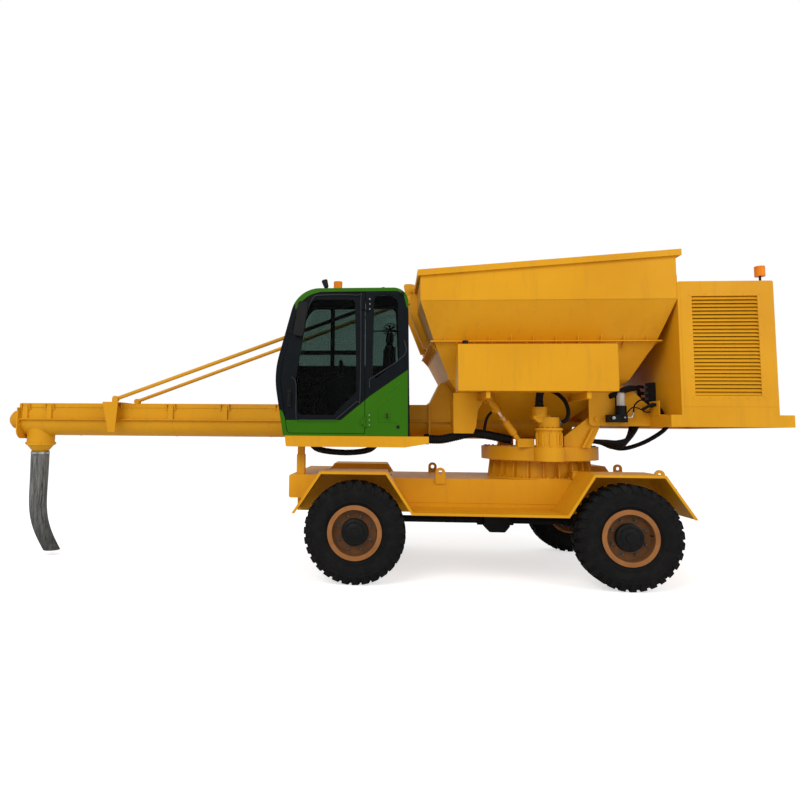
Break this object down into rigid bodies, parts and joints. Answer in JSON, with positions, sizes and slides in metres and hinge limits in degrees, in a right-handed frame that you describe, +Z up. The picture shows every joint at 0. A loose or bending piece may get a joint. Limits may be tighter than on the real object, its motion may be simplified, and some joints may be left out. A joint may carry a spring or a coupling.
{
  "type": "wheeled concrete placing boom",
  "caption": "Four-wheeled concrete placer: a slewing upper frame carries a cab, hopper, engine housing and a long screw-fed boom with a hanging discharge hose.",
  "frame": {"origin": "on the ground under the middle of the machine's overall length and width", "axes": "+X towards the engine end, opposite the boom; +Y towards the machine's right side, away from the cab; +Z up"},
  "size_m": [9.46, 2.576, 3.7048],
  "materials": {
    "yellow_paint": "satin",
    "green_paint": "satin",
    "rim_paint": "satin",
    "dark_iron": "matte",
    "ram_chrome": "polished",
    "bare_steel": "worn",
    "tyre": "matte",
    "hose_rubber": "matte",
    "cab_glass": "clear",
    "seat_fabric": "woven",
    "black_plastic": "matte",
    "amber_plastic": "gloss",
    "clear_plastic": "satin"
  },
  "bodies": {
    "chassis": {"chassis_frame": "yellow_paint", "fender_bands": "yellow_paint", "slew_pedestal": "yellow_paint", "front_axle": "dark_iron", "rear_axle": "dark_iron", "drive_line": "dark_iron", "lifting_lugs": "yellow_paint", "rest_post_sleeve": "yellow_paint"},
    "rest_post": {"rest_post": "yellow_paint"},
    "left_knuckle": {"left_knuckle": "dark_iron"},
    "right_knuckle": {"right_knuckle": "dark_iron"},
    "tie_rod": {"tie_rod": "dark_iron"},
    "front_left_wheel": {"front_left_tyre": "tyre", "front_left_rim": "rim_paint"},
    "front_right_wheel": {"front_right_tyre": "tyre", "front_right_rim": "rim_paint"},
    "rear_left_wheel": {"rear_left_tyre": "tyre", "rear_left_rim": "rim_paint"},
    "rear_right_wheel": {"rear_right_tyre": "tyre", "rear_right_rim": "rim_paint"},
    "turntable": {"turntable": "yellow_paint", "slew_drive": "yellow_paint"},
    "luff_barrels": {"luff_barrels": "yellow_paint"},
    "luff_rods": {"luff_rods": "ram_chrome"},
    "superstructure": {"upper_frame": "yellow_paint", "hopper": "yellow_paint", "hopper_braces": "yellow_paint", "feed_trough": "yellow_paint", "boom_trough": "yellow_paint", "boom_lid": "yellow_paint", "screw_motor": "yellow_paint", "discharge_spout": "yellow_paint", "discharge_hose": "hose_rubber", "boom_yoke": "yellow_paint", "stay_rods": "yellow_paint", "fuel_tank": "yellow_paint", "hydraulic_tank": "yellow_paint", "engine_housing": "yellow_paint", "louvre_panels": "yellow_paint", "engine_block": "dark_iron", "cab_platform": "yellow_paint", "cab_shell": "green_paint", "cab_glass": "cab_glass", "operator_seat": "seat_fabric", "control_consoles": "black_plastic", "grease_pump": "black_plastic", "grease_reservoir": "clear_plastic", "hydraulic_hoses": "hose_rubber", "valve_bank": "black_plastic", "beacons": "amber_plastic"},
    "feed_screw": {"feed_screw": "bare_steel"},
    "cab_door": {"cab_door": "green_paint", "door_glass": "cab_glass", "mirror": "black_plastic"}
  },
  "joints": [
    {"name": "slew", "type": "hinge", "parent": "chassis", "child": "turntable", "pos_m": [2.32, 0, 1.345], "axis": [0, 0, 1], "continuous": true},
    {"name": "luff", "type": "hinge", "parent": "turntable", "child": "superstructure", "pos_m": [2.846, 0, 1.837], "axis": [0, 1, 0], "range_deg": [0, 6]},
    {"name": "luff_barrel_swing", "type": "hinge", "parent": "superstructure", "child": "luff_barrels", "pos_m": [1.606, 0, 2.073], "axis": [0, 1, 0], "range_deg": [0, 2]},
    {"name": "luff_rod_slide", "type": "slide", "parent": "luff_barrels", "child": "luff_rods", "axis": [0.5737, 0, -0.8191], "range_m": [0, 0.096]},
    {"name": "feed_screw_turn", "type": "hinge", "parent": "superstructure", "child": "feed_screw", "pos_m": [1.82, 0, 1.799], "axis": [1, 0, 0], "continuous": true},
    {"name": "cab_door_swing", "type": "hinge", "parent": "superstructure", "child": "cab_door", "pos_m": [0.137, -1.214, 2.427], "axis": [0, 0, 1], "range_deg": [0, 95]},
    {"name": "rest_post_slide", "type": "slide", "parent": "chassis", "child": "rest_post", "axis": [0, 0, -1], "range_m": [0, 0.14]},
    {"name": "left_steer", "type": "hinge", "parent": "chassis", "child": "left_knuckle", "pos_m": [0.0325, -0.91, 0.563], "axis": [0, 0, 1], "range_deg": [-25, 25]},
    {"name": "right_steer", "type": "hinge", "parent": "chassis", "child": "right_knuckle", "pos_m": [0.0325, 0.91, 0.563], "axis": [0, 0, 1], "range_deg": [-25, 25]},
    {"name": "tie_rod_swing", "type": "hinge", "parent": "left_knuckle", "child": "tie_rod", "pos_m": [0.3325, -0.91, 0.435], "axis": [0, 0, 1], "range_deg": [-25, 25]},
    {"name": "front_left_spin", "type": "hinge", "parent": "left_knuckle", "child": "front_left_wheel", "pos_m": [0.0325, -1.13, 0.563], "axis": [0, 1, 0], "continuous": true},
    {"name": "front_right_spin", "type": "hinge", "parent": "right_knuckle", "child": "front_right_wheel", "pos_m": [0.0325, 1.13, 0.563], "axis": [0, 1, 0], "continuous": true},
    {"name": "rear_left_spin", "type": "hinge", "parent": "chassis", "child": "rear_left_wheel", "pos_m": [2.9715, -1.13, 0.563], "axis": [0, 1, 0], "continuous": true},
    {"name": "rear_right_spin", "type": "hinge", "parent": "chassis", "child": "rear_right_wheel", "pos_m": [2.9715, 1.13, 0.563], "axis": [0, 1, 0], "continuous": true}
  ],
  "couplings": [
    {"joint": "luff_barrel_swing", "follows": "luff", "ratio": 0.28},
    {"joint": "luff_rod_slide", "follows": "luff", "m_per_rad": 0.904},
    {"joint": "right_steer", "follows": "left_steer", "ratio": 1},
    {"joint": "tie_rod_swing", "follows": "left_steer", "ratio": -1}
  ]
}
